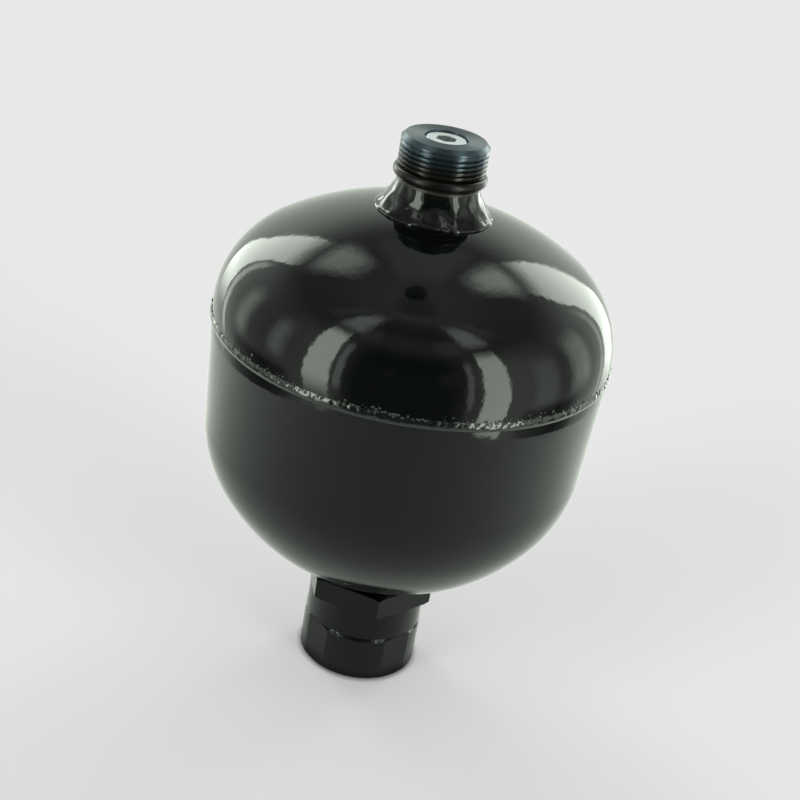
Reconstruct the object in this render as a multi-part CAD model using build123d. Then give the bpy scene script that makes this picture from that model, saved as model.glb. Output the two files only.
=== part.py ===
from build123d import *
import math
import os

# Hydraulic accumulator, about one litre: two deep-drawn steel shells welded at a seam, a
# threaded gas neck with a charging screw on top, and a hexagonal fluid port with a screwed-in
# adapter below, which is what the accumulator stands on.
# Millimetres. +Z up, Z axis is the vessel's axis, origin at the centre of the adapter's foot.

# ---------------------------------------------------------------- vessel shells
VESSEL_R = 65.75        # outside radius of both shells at the seam
WALL = 5.0              # plate thickness, measured square to the surface
UPPER_SKIRT = 2.0       # straight wall of the upper shell, from the seam up
UPPER_DRAW_IN = 0.0     # radius lost along that wall
UPPER_KNUCKLE = 31.5    # outside radius of the upper shell's shoulder
UPPER_DEPTH = 43.5      # seam to the top of the dome
LOWER_SKIRT = 38.0      # straight wall of the lower shell, from the seam down
LOWER_DRAW_IN = 1.65    # radius lost along that wall
LOWER_KNUCKLE = 42.0    # outside radius of the lower shell's shoulder
LOWER_DEPTH = 90.5      # seam to the bottom of the bowl

# ---------------------------------------------------------------- seam and what it clamps
SEAM_ROOT = 1.0         # width of the weld at its root
SEAM_CAP = 2.4          # width of the weld at the outside of the shells
SEAM_CROWN = 0.35       # how far the weld bead stands proud
RECESS_CUT = 0.6        # depth of the turned recess inside both rims
RECESS_UP = 6.0         # reach of the recess above the seam
RECESS_DOWN = 20.0      # reach of the recess below the seam, to the ledge
BACKING_T = 1.2         # thickness of the backing ring behind the weld
BACKING_DOWN = 5.6      # reach of the backing ring below the seam
CLAMP_LIP = 1.8         # thickness of the clamp ring's lip, inside the bladder's bead

# ---------------------------------------------------------------- bladder
BLADDER_T = 2.2         # rubber wall
BLADDER_BEAD = 6.0      # height of the bead at its rim
BLADDER_PAD_R = 15.5    # radius of the thick pad in the middle
BLADDER_PAD_T = 3.0     # rubber above the button
BUTTON_R = 11.5         # steel button that closes the port
BUTTON_T = 3.0
BUTTON_EDGE = 0.75      # bevel on its lower edge

# ---------------------------------------------------------------- gas neck
NECK_RISE = 22.4        # top of the dome to the neck's end face
NECK_THREAD_R = 14.0    # M28 x 1.5, crest radius
NECK_THREAD_L = 9.7     # end face to the ring groove
NECK_CHAMFER = 1.25
RING_GROOVE_R = 11.7    # floor of the groove under the thread
RING_GROOVE_H = 4.0
RING_SECTION = 3.3      # thickness of the rubber ring in that groove
NECK_WAIST_R = 13.2     # neck just below the groove
NECK_WAIST_H = 0.9
NECK_FOOT_R = 18.0      # flared foot on the dome
NECK_FOOT_EDGE = 1.0    # upright edge of the foot
NECK_FLARE_SAG = 0.7    # how hollow the flare is, against a straight cone
NECK_SPIGOT_R = 10.0    # spigot in the dome's hole
NECK_WELD = 1.0         # radius of the weld round the foot

# ---------------------------------------------------------------- charging screw
SCREW_HEAD_R = 6.5
SCREW_HEAD_H = 8.0
SCREW_HEAD_EDGE = 0.3
SCREW_SUNK = 0.45       # head below the neck's end face
SCREW_R = 3.6           # M8, pitch radius
SCREW_SHANK = 12.0
KEY_AF = 6.0            # hexagon socket, across flats
KEY_DEPTH = 5.0
KEY_TURN = 23.0         # degrees, one corner of the socket from +X
SCREW_SEAL_R = 5.1      # middle of the seal under the head
SCREW_SEAL_SECTION = 1.5
GAS_PASSAGE_R = 2.0

# ---------------------------------------------------------------- fluid port
PORT_PASSAGE_R = 7.0
PORT_SPIGOT_R = 13.0    # spigot in the lower shell's hole
PORT_NECK_R = 15.5      # neck between the hexagon and the shell
PORT_STANDOFF = 1.3     # hexagon to the bottom of the bowl
PORT_WELD = 2.6         # radius of the weld round the neck
HEX_AF = 41.0           # hexagon, across flats
HEX_H = 7.8
HEX_BEVEL_R = 22.7      # circle where the corner bevels start
HEX_BEVEL = 30.0        # degrees, slope of the corner bevels
HEX_TURN = -17.4        # degrees, one corner from +X
SLEEVE_R = 20.4         # round sleeve under the hexagon
SLEEVE_H = 11.2
SLEEVE_EDGE = 0.4
PORT_THREAD_R = 12.64   # G 3/4, pitch radius, between port and adapter
PORT_THREAD_DEPTH = 13.6

# ---------------------------------------------------------------- adapter
ADAPTER_R = 20.7
ADAPTER_H = 16.9
ADAPTER_TOP_EDGE = 0.9  # bevels on the body's two ends
ADAPTER_FOOT_EDGE = 0.8
WRENCH_AF = 40.0        # two pairs of wrench flats on the round body
WRENCH_TURN = 43.3      # degrees, normal of one flat from +X
ADAPTER_THREAD_L = 12.4
ADAPTER_PASSAGE_R = 6.0
OUTLET_R = 9.32         # G 1/2 female thread, minor radius
OUTLET_DEPTH = 14.5
OUTLET_MOUTH = 1.2      # bevel at the thread's mouth
ADAPTER_SEAL_R = 16.3   # middle of the seal between adapter and port
ADAPTER_SEAL_SECTION = 1.9

# ---------------------------------------------------------------- clearances
FIT = 0.05              # round fits and threads, on the radius
SEAL_FIT = 0.03         # round a seal in its groove
RUBBER_GAP = 0.3        # bladder to shell and port
HEAD_ROOM = 0.45        # screw head in its recess, on the radius
STACK_PLAY = 0.1        # backing ring under the upper shell

# ---------------------------------------------------------------- levels
PORT_Z = ADAPTER_H                              # joint of adapter and port
HEX_Z = PORT_Z + SLEEVE_H                       # underside of the hexagon
HEX_TOP_Z = HEX_Z + HEX_H
SEAM_Z = HEX_TOP_Z + PORT_STANDOFF + LOWER_DEPTH
NECK_Z = SEAM_Z + UPPER_DEPTH + NECK_RISE       # neck's end face, the highest point
RECESS_R = VESSEL_R - WALL + RECESS_CUT
LEDGE_Z = SEAM_Z - RECESS_DOWN
GROOVE_TOP_Z = NECK_Z - NECK_THREAD_L
GROOVE_Z = GROOVE_TOP_Z - RING_GROOVE_H
SCREW_SEAT_Z = NECK_Z - SCREW_SUNK - SCREW_HEAD_H


def turned(*points):
    """Solid of revolution of the (radius, height) polygon."""
    return revolve(Plane.XZ * make_face(Polyline(*points, close=True)), Axis.Z)


def ring(inner, outer, low, high):
    return turned((inner, low), (outer, low), (outer, high), (inner, high))


def cylinder(radius, low, high):
    return turned((0, low), (radius, low), (radius, high), (0, high))


def torus(middle, height, section_r):
    """Ring of round section about the Z axis."""
    section = Plane.XZ * Pos(middle, height) * Circle(section_r)
    return revolve(section, Axis.Z)


class Head:
    """A drawn shell: straight or drawn-in skirt, knuckle and crown, each tangent to the next.
    It is worked out above z = 0 and then set up or down from the seam."""

    def __init__(self, skirt, draw_in, knuckle, depth, upwards):
        self.draft = math.atan2(draw_in, skirt)
        self.knuckle = knuckle
        self.depth = depth
        self.direction = 1 if upwards else -1
        self.turn = Rot(0, 0, 0) if upwards else Rot(180, 0, 0)
        self.knuckle_r = VESSEL_R - draw_in - knuckle * math.cos(self.draft)
        self.knuckle_z = skirt - knuckle * math.sin(self.draft)
        rest = depth - knuckle
        square = rest**2 - self.knuckle_r**2 - self.knuckle_z**2
        self.crown_z = square / (2 * (rest - self.knuckle_z))
        self.blend = math.atan2(self.knuckle_z - self.crown_z, self.knuckle_r)

    def wall_r(self, offset, distance):
        """Radius of the skirt, offset inwards, at a distance from the seam."""
        return VESSEL_R - offset / math.cos(self.draft) - distance * math.tan(self.draft)

    def level(self, radius, offset):
        """Height on the crown, offset inwards, at a radius from the axis."""
        crown = self.depth - self.crown_z - offset
        return SEAM_Z + self.direction * (self.crown_z + math.sqrt(crown**2 - radius**2))

    def solid(self, offset):
        """Everything inside the surface that lies offset inwards from the outside."""
        draft, blend = math.degrees(self.draft), math.degrees(self.blend)
        knuckle = CenterArc((self.knuckle_r, self.knuckle_z), self.knuckle - offset, draft, blend - draft)
        crown = CenterArc((0, self.crown_z), self.depth - self.crown_z - offset, blend, 90 - blend)
        rim = (self.wall_r(offset, 0), 0)
        outline = [
            Line((0, 0), rim),
            Line(rim, knuckle @ 0),
            knuckle,
            crown,
            Line(crown @ 1, (0, 0)),
        ]
        return Pos(0, 0, SEAM_Z) * self.turn * revolve(Plane.XZ * make_face(outline), Axis.Z)


UPPER = Head(UPPER_SKIRT, UPPER_DRAW_IN, UPPER_KNUCKLE, UPPER_DEPTH, upwards=True)
LOWER = Head(LOWER_SKIRT, LOWER_DRAW_IN, LOWER_KNUCKLE, LOWER_DEPTH, upwards=False)
PORT_SEAT_Z = LOWER.level(PORT_SPIGOT_R, WALL)      # top of the port's spigot, inside the bowl


# ---------------------------------------------------------------- vessel

def equator_weld():
    """Tapered butt weld from the recess to a slightly crowned cap."""
    low, high = SEAM_Z - SEAM_CAP / 2, SEAM_Z + SEAM_CAP / 2
    cap = ThreePointArc((VESSEL_R, low), (VESSEL_R + SEAM_CROWN, SEAM_Z), (VESSEL_R, high))
    root = Line((RECESS_R, SEAM_Z + SEAM_ROOT / 2), (RECESS_R, SEAM_Z - SEAM_ROOT / 2))
    section = make_face([cap, Line(cap @ 1, root @ 0), root, Line(root @ 1, cap @ 0)])
    return revolve(Plane.XZ * section, Axis.Z)


def upper_shell():
    shell = UPPER.solid(0) - UPPER.solid(WALL)
    shell -= cylinder(RECESS_R, SEAM_Z - SEAM_CAP, SEAM_Z + RECESS_UP)
    shell -= cylinder(NECK_SPIGOT_R + FIT, SEAM_Z, NECK_Z)
    return shell - equator_weld()


def lower_shell():
    shell = LOWER.solid(0) - LOWER.solid(WALL)
    shell -= cylinder(RECESS_R, LEDGE_Z, SEAM_Z + SEAM_CAP)
    shell -= cylinder(PORT_SPIGOT_R + FIT, HEX_Z, LEDGE_Z)
    return shell - equator_weld()


def backing_ring():
    """Thin ring across the seam that lines up both rims and keeps the weld off the rubber."""
    outer = RECESS_R - FIT
    return ring(outer - BACKING_T, outer, SEAM_Z - BACKING_DOWN, SEAM_Z + RECESS_UP - STACK_PLAY)


def bead_inner_r():
    return LOWER.wall_r(WALL + RUBBER_GAP + BLADDER_T, RECESS_DOWN)


def clamp_ring():
    """L-shaped ring: its foot presses on the bead and its lip holds the bead outwards."""
    outer, lip = RECESS_R - FIT, bead_inner_r() - FIT
    inner = lip - CLAMP_LIP
    foot, top = LEDGE_Z + BLADDER_BEAD, SEAM_Z - BACKING_DOWN
    return turned((inner, LEDGE_Z), (lip, LEDGE_Z), (lip, foot), (outer, foot), (outer, top), (inner, top))


# ---------------------------------------------------------------- bladder

def button_top_z():
    return PORT_SEAT_Z + BUTTON_T


def bladder_button():
    """Steel disc that shuts the port when the vessel is empty of oil."""
    return turned(
        (0, PORT_SEAT_Z),
        (BUTTON_R - BUTTON_EDGE, PORT_SEAT_Z),
        (BUTTON_R, PORT_SEAT_Z + BUTTON_EDGE),
        (BUTTON_R, button_top_z()),
        (0, button_top_z()),
    )


def bladder():
    """Moulded rubber cup, pressed against the lower shell by the gas, with a bead at its rim."""
    outside = LOWER.solid(WALL + RUBBER_GAP)
    cup = outside - LOWER.solid(WALL + RUBBER_GAP + BLADDER_T)
    pad = outside & cylinder(BLADDER_PAD_R, HEX_Z, button_top_z() + BLADDER_PAD_T)
    cup = cup + pad - cylinder(VESSEL_R, LEDGE_Z, SEAM_Z)
    cup += ring(bead_inner_r(), RECESS_R - FIT, LEDGE_Z, LEDGE_Z + BLADDER_BEAD)
    cup -= cylinder(PORT_SPIGOT_R + RUBBER_GAP, HEX_Z, PORT_SEAT_Z + RUBBER_GAP)
    return cup - cylinder(BUTTON_R + SEAL_FIT, HEX_Z, button_top_z())


# ---------------------------------------------------------------- gas neck

def neck_body():
    """Boss turned in one piece: spigot, flared foot, waist, ring groove and threaded end."""
    foot_z = UPPER.level(NECK_FOOT_R, 0)
    spigot_z = UPPER.level(NECK_SPIGOT_R, WALL)
    shoulder = (NECK_SPIGOT_R, UPPER.level(NECK_SPIGOT_R, 0))
    middle_r = (NECK_SPIGOT_R + NECK_FOOT_R) / 2
    seat = ThreePointArc(shoulder, (middle_r, UPPER.level(middle_r, 0)), (NECK_FOOT_R, foot_z))
    flare_foot = (NECK_FOOT_R, foot_z + NECK_FOOT_EDGE)
    flare_top = (NECK_WAIST_R, GROOVE_Z - NECK_WAIST_H)
    flare = SagittaArc(flare_foot, flare_top, NECK_FLARE_SAG)
    stem = Polyline(
        flare_top,
        (NECK_WAIST_R, GROOVE_Z),
        (RING_GROOVE_R, GROOVE_Z),
        (RING_GROOVE_R, GROOVE_TOP_Z),
        (NECK_THREAD_R, GROOVE_TOP_Z),
        (NECK_THREAD_R, NECK_Z - NECK_CHAMFER),
        (NECK_THREAD_R - NECK_CHAMFER, NECK_Z),
        (0, NECK_Z),
        (0, spigot_z),
        (NECK_SPIGOT_R, spigot_z),
        shoulder,
    )
    outline = [seat, Line(seat @ 1, flare_foot), flare, stem]
    return revolve(Plane.XZ * make_face(outline), Axis.Z)


def seal_groove(middle, section, mouth, floor):
    """Square groove for a round seal, which it clears by SEAL_FIT on every side."""
    half = section / 2 + SEAL_FIT
    return ring(middle - half, middle + half, floor, mouth)


def gas_neck():
    neck = neck_body() - cylinder(SCREW_HEAD_R + HEAD_ROOM, SCREW_SEAT_Z, NECK_Z)
    neck -= cylinder(SCREW_R + FIT, SCREW_SEAT_Z - SCREW_SHANK - SCREW_R, SCREW_SEAT_Z)
    neck -= cylinder(GAS_PASSAGE_R, SEAM_Z, SCREW_SEAT_Z)
    floor = SCREW_SEAT_Z - SCREW_SEAL_SECTION - 2 * SEAL_FIT
    return neck - seal_groove(SCREW_SEAL_R, SCREW_SEAL_SECTION, SCREW_SEAT_Z, floor)


def gas_neck_weld():
    """Small weld round the flared foot."""
    bead = torus(NECK_FOOT_R, UPPER.level(NECK_FOOT_R, 0), NECK_WELD)
    return bead - neck_body() - UPPER.solid(0)


def neck_o_ring():
    section = RING_SECTION / 2
    return torus(RING_GROOVE_R + SEAL_FIT + section, (GROOVE_Z + GROOVE_TOP_Z) / 2, section)


# ---------------------------------------------------------------- charging screw

def charging_screw():
    """Cap screw with a hexagon socket; its shank shuts the gas passage."""
    head_top = SCREW_SEAT_Z + SCREW_HEAD_H
    tip = SCREW_SEAT_Z - SCREW_SHANK
    screw = turned(
        (0, tip),
        (SCREW_R - SCREW_HEAD_EDGE, tip),
        (SCREW_R, tip + SCREW_HEAD_EDGE),
        (SCREW_R, SCREW_SEAT_Z),
        (SCREW_HEAD_R, SCREW_SEAT_Z),
        (SCREW_HEAD_R, head_top - SCREW_HEAD_EDGE),
        (SCREW_HEAD_R - SCREW_HEAD_EDGE, head_top),
        (0, head_top),
    )
    socket = RegularPolygon(KEY_AF / 2, 6, major_radius=False, rotation=KEY_TURN)
    return screw - Pos(0, 0, head_top) * extrude(socket, -KEY_DEPTH)


def charging_screw_seal():
    return torus(SCREW_SEAL_R, SCREW_SEAT_Z - SCREW_SEAL_SECTION / 2 - SEAL_FIT, SCREW_SEAL_SECTION / 2)


# ---------------------------------------------------------------- fluid port

def hexagon():
    """Hexagon with its corners bevelled above and below."""
    blank = extrude(RegularPolygon(HEX_AF / 2, 6, major_radius=False, rotation=HEX_TURN), HEX_H)
    reach = HEX_AF - HEX_BEVEL_R
    fall = reach * math.tan(math.radians(HEX_BEVEL))
    bevels = turned(
        (0, 0),
        (HEX_BEVEL_R, 0),
        (HEX_BEVEL_R + reach, fall),
        (HEX_BEVEL_R + reach, HEX_H - fall),
        (HEX_BEVEL_R, HEX_H),
        (0, HEX_H),
    )
    return Pos(0, 0, HEX_Z) * (blank & bevels)


def port_body():
    """Sleeve, hexagon, neck and spigot in one piece, without its bores."""
    sleeve = turned(
        (0, PORT_Z),
        (SLEEVE_R - SLEEVE_EDGE, PORT_Z),
        (SLEEVE_R, PORT_Z + SLEEVE_EDGE),
        (SLEEVE_R, HEX_Z),
        (0, HEX_Z),
    )
    neck = cylinder(PORT_NECK_R, HEX_TOP_Z, PORT_SEAT_Z) - LOWER.solid(0)
    return sleeve + hexagon() + neck + cylinder(PORT_SPIGOT_R, HEX_TOP_Z, PORT_SEAT_Z)


def fluid_port():
    port = port_body() - cylinder(PORT_THREAD_R + FIT, PORT_Z, PORT_Z + PORT_THREAD_DEPTH)
    return port - cylinder(PORT_PASSAGE_R, PORT_Z, PORT_SEAT_Z)


def fluid_port_weld():
    """Weld between the port's neck and the lower shell."""
    bead = torus(PORT_NECK_R, LOWER.level(PORT_NECK_R, 0), PORT_WELD)
    return bead - port_body() - LOWER.solid(0)


# ---------------------------------------------------------------- adapter

def port_adapter():
    """Round body with four wrench flats, threaded into the port and threaded inside below."""
    body = turned(
        (0, 0),
        (ADAPTER_R - ADAPTER_FOOT_EDGE, 0),
        (ADAPTER_R, ADAPTER_FOOT_EDGE),
        (ADAPTER_R, PORT_Z - ADAPTER_TOP_EDGE),
        (ADAPTER_R - ADAPTER_TOP_EDGE, PORT_Z),
        (0, PORT_Z),
    )
    body &= Rot(0, 0, WRENCH_TURN) * extrude(Rectangle(WRENCH_AF, WRENCH_AF), PORT_Z)
    body += cylinder(PORT_THREAD_R, PORT_Z, PORT_Z + ADAPTER_THREAD_L)
    outlet = turned(
        (0, 0),
        (OUTLET_R + OUTLET_MOUTH, 0),
        (OUTLET_R, OUTLET_MOUTH),
        (OUTLET_R, OUTLET_DEPTH),
        (0, OUTLET_DEPTH),
    )
    body -= outlet + cylinder(ADAPTER_PASSAGE_R, 0, PORT_Z + ADAPTER_THREAD_L)
    floor = PORT_Z - ADAPTER_SEAL_SECTION - 2 * SEAL_FIT
    return body - seal_groove(ADAPTER_SEAL_R, ADAPTER_SEAL_SECTION, PORT_Z, floor)


def adapter_seal():
    return torus(ADAPTER_SEAL_R, PORT_Z - ADAPTER_SEAL_SECTION / 2 - SEAL_FIT, ADAPTER_SEAL_SECTION / 2)


PIECES = [
    upper_shell,
    lower_shell,
    equator_weld,
    backing_ring,
    clamp_ring,
    bladder,
    bladder_button,
    gas_neck,
    gas_neck_weld,
    neck_o_ring,
    charging_screw,
    charging_screw_seal,
    fluid_port,
    fluid_port_weld,
    port_adapter,
    adapter_seal,
]

os.makedirs("parts", exist_ok=True)
for piece in PIECES:
    export_step(piece(), f"parts/{piece.__name__}.step")
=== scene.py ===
import math

import bmesh
import bpy
import numpy as np
from mathutils import Matrix, Vector


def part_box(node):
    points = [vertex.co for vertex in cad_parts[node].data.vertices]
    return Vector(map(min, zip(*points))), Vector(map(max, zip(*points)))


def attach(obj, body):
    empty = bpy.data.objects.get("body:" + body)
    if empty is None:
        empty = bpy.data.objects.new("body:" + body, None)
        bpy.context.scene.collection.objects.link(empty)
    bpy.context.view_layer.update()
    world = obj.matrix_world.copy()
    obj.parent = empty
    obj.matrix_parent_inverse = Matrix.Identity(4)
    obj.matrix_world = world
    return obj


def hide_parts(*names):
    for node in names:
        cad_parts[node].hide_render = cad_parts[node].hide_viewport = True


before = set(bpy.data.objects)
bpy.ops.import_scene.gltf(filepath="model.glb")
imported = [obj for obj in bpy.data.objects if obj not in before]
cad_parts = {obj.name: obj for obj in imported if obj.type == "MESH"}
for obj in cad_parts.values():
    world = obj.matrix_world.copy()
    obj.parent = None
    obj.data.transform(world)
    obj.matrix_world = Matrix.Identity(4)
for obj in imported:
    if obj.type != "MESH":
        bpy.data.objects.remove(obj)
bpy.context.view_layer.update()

scene = bpy.context.scene
MM = 0.001

# ---------------------------------------------------------------- places on the vessel

NECK_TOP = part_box("gas_neck")[1][2]
NECK_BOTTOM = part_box("gas_neck")[0][2]
SEAM = (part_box("equator_weld")[0][2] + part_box("equator_weld")[1][2]) / 2
PORT_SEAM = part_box("fluid_port")[0][2]
VESSEL_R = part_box("upper_shell")[1][0]


def towards(azimuth, elevation):
    """Unit vector: azimuth from the front to the right and elevation, in degrees."""
    azimuth, elevation = math.radians(azimuth), math.radians(elevation)
    flat = math.cos(elevation)
    return Vector((flat * math.sin(azimuth), -flat * math.cos(azimuth), math.sin(elevation)))


# ---------------------------------------------------------------- node trees

class Nodes:
    """Adds nodes to a tree and feeds their inputs with links or plain values."""

    def __init__(self, tree):
        self.tree = tree

    def feed(self, socket, value):
        if isinstance(value, bpy.types.NodeSocket):
            self.tree.links.new(value, socket)
        else:
            socket.default_value = value

    def add(self, kind, inputs=None, **settings):
        node = self.tree.nodes.new(kind)
        for key, value in settings.items():
            setattr(node, key, value)
        for key, value in (inputs or {}).items():
            self.feed(node.inputs[key], value)
        return node

    def math(self, operation, *values, clamp=False):
        node = self.add("ShaderNodeMath", operation=operation, use_clamp=clamp)
        for socket, value in zip(node.inputs, values):
            self.feed(socket, value)
        return node.outputs[0]

    def product(self, *values):
        result = values[0]
        for value in values[1:]:
            result = self.math("MULTIPLY", result, value)
        return result

    def step(self, value, low, high, start=0.0, end=1.0):
        """Smooth rise from start at low to end at high."""
        node = self.add("ShaderNodeMapRange", interpolation_type="SMOOTHSTEP")
        for name, given in zip(("Value", "From Min", "From Max", "To Min", "To Max"),
                               (value, low, high, start, end)):
            self.feed(node.inputs[name], given)
        return node.outputs["Result"]

    def split(self, vector):
        return self.add("ShaderNodeSeparateXYZ", {0: vector}).outputs

    def join(self, x, y, z):
        return self.add("ShaderNodeCombineXYZ", {0: x, 1: y, 2: z}).outputs[0]

    def scaled(self, vector, factor):
        return self.add("ShaderNodeVectorMath", {0: vector, "Scale": factor},
                        operation="SCALE").outputs[0]

    def colour_between(self, share, one, other):
        return self.add("ShaderNodeMix", {0: share, 6: one, 7: other}, data_type="RGBA").outputs[2]

    def place(self):
        """Place on the piece in its Object coordinates."""
        return self.add("ShaderNodeTexCoord").outputs["Object"]

    def radius(self, x, y):
        """Distance from the vessel's axis."""
        return self.math("SQRT", self.math("ADD", self.product(x, x), self.product(y, y)))

    def turn(self, x, y):
        """Angle round the vessel's axis from the front to the right, in radians."""
        return self.math("ARCTAN2", x, self.product(y, -1.0))


DEGREES = 180 / math.pi     # in a radian


def sockets(tree, direction, pairs):
    for name, kind in pairs:
        tree.interface.new_socket(name=name, in_out=direction, socket_type="NodeSocket" + kind)


def node_group(name, kind, inputs, outputs):
    """Empty node group with its sockets; gives its helper, input sockets and output node."""
    tree = bpy.data.node_groups.new(name, kind)
    sockets(tree, "INPUT", inputs)
    sockets(tree, "OUTPUT", outputs)
    nodes = Nodes(tree)
    given = nodes.add("NodeGroupInput").outputs
    return nodes, given, nodes.add("NodeGroupOutput").inputs


# ---------------------------------------------------------------- surface effects
# A texture's scale is how many of its waves or cells lie along one metre.

SWELLS, PEELS, NIB_CELLS = 55.0, 440.0, 130.0
NIB_R = 0.035           # of a cell
CELLS_WITHOUT_NIB = 0.86
NOISE_LOW, NOISE_HIGH = 0.3, 0.7        # most of a noise's values lie between


def orange_peel_effect():
    """Height of sprayed gloss paint: slow swells, fine orange peel and a few nibs of dust."""
    n, given, out = node_group(
        "orange_peel", "ShaderNodeTree",
        [("Swell", "Float"), ("Peel", "Float"), ("Nibs", "Float")], [("Height", "Float")])
    place = n.place()
    swell = n.add("ShaderNodeTexNoise", {"Vector": place, "Scale": SWELLS, "Detail": 1.0})
    peel = n.add("ShaderNodeTexNoise", {"Vector": place, "Scale": PEELS, "Detail": 1.5})
    cells = n.add("ShaderNodeTexVoronoi", {"Vector": place, "Scale": NIB_CELLS})
    chosen = n.math("GREATER_THAN", n.split(cells.outputs["Color"])[0], CELLS_WITHOUT_NIB)
    nib = n.product(n.step(cells.outputs["Distance"], NIB_R, 0.0), chosen, given["Nibs"])
    height = n.product(swell.outputs["Fac"], given["Swell"])
    height = n.math("MULTIPLY_ADD", peel.outputs["Fac"], given["Peel"], height)
    n.feed(out["Height"], n.math("ADD", height, nib))
    return n.tree


def uneven_effect():
    """A value that wanders between two limits, for roughness."""
    n, given, out = node_group(
        "uneven", "ShaderNodeTree",
        [("Scale", "Float"), ("Low", "Float"), ("High", "Float")], [("Value", "Float")])
    noise = n.add("ShaderNodeTexNoise",
                  {"Vector": n.place(), "Scale": given["Scale"], "Detail": 4.0})
    n.feed(out["Value"], n.step(noise.outputs["Fac"], NOISE_LOW, NOISE_HIGH,
                                given["Low"], given["High"]))
    return n.tree


def darker_below_effect():
    """Colour that changes between two levels, and a roughness of its own on the end face."""
    n, given, out = node_group(
        "browned_below", "ShaderNodeTree",
        [("Low Colour", "Color"), ("High Colour", "Color"),
         ("Low Level", "Float"), ("High Level", "Float"), ("Face Level", "Float"),
         ("Side Roughness", "Float"), ("Face Roughness", "Float")],
        [("Colour", "Color"), ("Roughness", "Float")])
    blend = 0.3 * MM
    level = n.split(n.place())[2]
    share = n.step(level, given["Low Level"], given["High Level"])
    n.feed(out["Colour"], n.colour_between(share, given["Low Colour"], given["High Colour"]))
    n.feed(out["Roughness"], n.step(level, n.math("SUBTRACT", given["Face Level"], blend),
                                    given["Face Level"], given["Side Roughness"],
                                    given["Face Roughness"]))
    return n.tree


def rubbed_effect():
    """Where an edge is rubbed bright: a band of height, past the ends of four flats, broken up."""
    n, given, out = node_group(
        "rubbed_edge", "ShaderNodeTree",
        [("Low", "Float"), ("High", "Float"), ("Flat Azimuth", "Float"), ("Reach", "Float"),
         ("Dark Colour", "Color"), ("Bright Colour", "Color")],
        [("Colour", "Color"), ("Metallic", "Float")])
    fade_angle, fade_height = 6.0, 0.1 * MM
    clean_share, worn_share = 0.48, 0.60        # of the reach, from the middle of a flat
    specks, dark_under, bright_over = 1500.0, 0.47, 0.60
    place = n.place()
    x, y, z = n.split(place)
    reach = given["Reach"]
    azimuth = n.product(n.turn(x, y), DEGREES)
    apart = n.math("PINGPONG", n.math("SUBTRACT", azimuth, given["Flat Azimuth"]), 45.0)
    near = n.product(n.step(apart, reach, n.math("SUBTRACT", reach, fade_angle)),
                     n.step(apart, n.product(reach, clean_share), n.product(reach, worn_share)))
    band = n.product(n.step(z, given["Low"], n.math("ADD", given["Low"], fade_height)),
                     n.step(z, given["High"], n.math("SUBTRACT", given["High"], fade_height)))
    noise = n.add("ShaderNodeTexNoise", {"Vector": place, "Scale": specks, "Detail": 2.0})
    share = n.product(near, band, n.step(noise.outputs["Fac"], dark_under, bright_over))
    n.feed(out["Colour"], n.colour_between(share, given["Dark Colour"], given["Bright Colour"]))
    n.feed(out["Metallic"], share)
    return n.tree


def turning_effect():
    """Height of fine lathe marks: rings round the axis, along Z on a side, outward on a face."""
    n, given, out = node_group(
        "turning_marks", "ShaderNodeTree",
        [("Pitch", "Float"), ("Depth", "Float")], [("Height", "Float")])
    x, y, z = n.split(n.place())
    along = n.math("DIVIDE", n.math("ADD", n.radius(x, y), z), given["Pitch"])
    line = n.add("ShaderNodeTexNoise", {"W": along, "Scale": 1.0, "Detail": 3.0},
                 noise_dimensions="1D")
    n.feed(out["Height"], n.product(line.outputs["Fac"], given["Depth"]))
    return n.tree


ORANGE_PEEL = orange_peel_effect()
UNEVEN = uneven_effect()
DARKER_BELOW = darker_below_effect()
RUBBED = rubbed_effect()
TURNING = turning_effect()


# ---------------------------------------------------------------- finishes

def grouped(n, tree, inputs):
    return n.add("ShaderNodeGroup", inputs, node_tree=tree).outputs


def finish_of(name, base, roughness, metallic=0.0, ior=1.5):
    """Material with its Principled shader; gives the material, its nodes and shader inputs."""
    material = bpy.data.materials.new(name)
    material.use_nodes = True
    n = Nodes(material.node_tree)
    into = material.node_tree.nodes["Principled BSDF"].inputs
    n.feed(into["Base Color"], (*base, 1))
    n.feed(into["Roughness"], roughness)
    n.feed(into["Metallic"], metallic)
    n.feed(into["IOR"], ior)
    return material, n, into


def bumped(n, into, height):
    bump = n.add("ShaderNodeBump", {"Height": height, "Distance": 1.0, "Strength": 1.0})
    n.feed(into["Normal"], bump.outputs["Normal"])


def gloss_paint(name, roughness, swell, peel, nibs, base=(0.0028, 0.0040, 0.0030), ior=1.5):
    """Sprayed paint; swell, peel and nibs are heights in metres."""
    material, n, into = finish_of(name, base, roughness, ior=ior)
    bumped(n, into, grouped(n, ORANGE_PEEL, {"Swell": swell, "Peel": peel, "Nibs": nibs})[0])
    return material


def uneven_roughness(n, into, scale, low, high):
    n.feed(into["Roughness"], grouped(n, UNEVEN, {"Scale": scale, "Low": low, "High": high})[0])


def lathe_marks(n, into, pitch, depth):
    bumped(n, into, grouped(n, TURNING, {"Pitch": pitch, "Depth": depth})[0])


def steel(name, base, roughness, metallic=1.0, pitch=0.15 * MM, depth=1.0e-6, ior=1.5):
    """Turned steel; roughness gives two limits, pitch and depth are those of its lathe marks."""
    material, n, into = finish_of(name, base, roughness[0], metallic, ior)
    uneven_roughness(n, into, 900.0, *roughness)
    lathe_marks(n, into, pitch, depth)
    return material


def blackened_steel(name):
    return steel(name, (0.0015, 0.0020, 0.0021), (0.12, 0.20), metallic=0.0, pitch=0.12 * MM,
                 ior=1.41)


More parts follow.
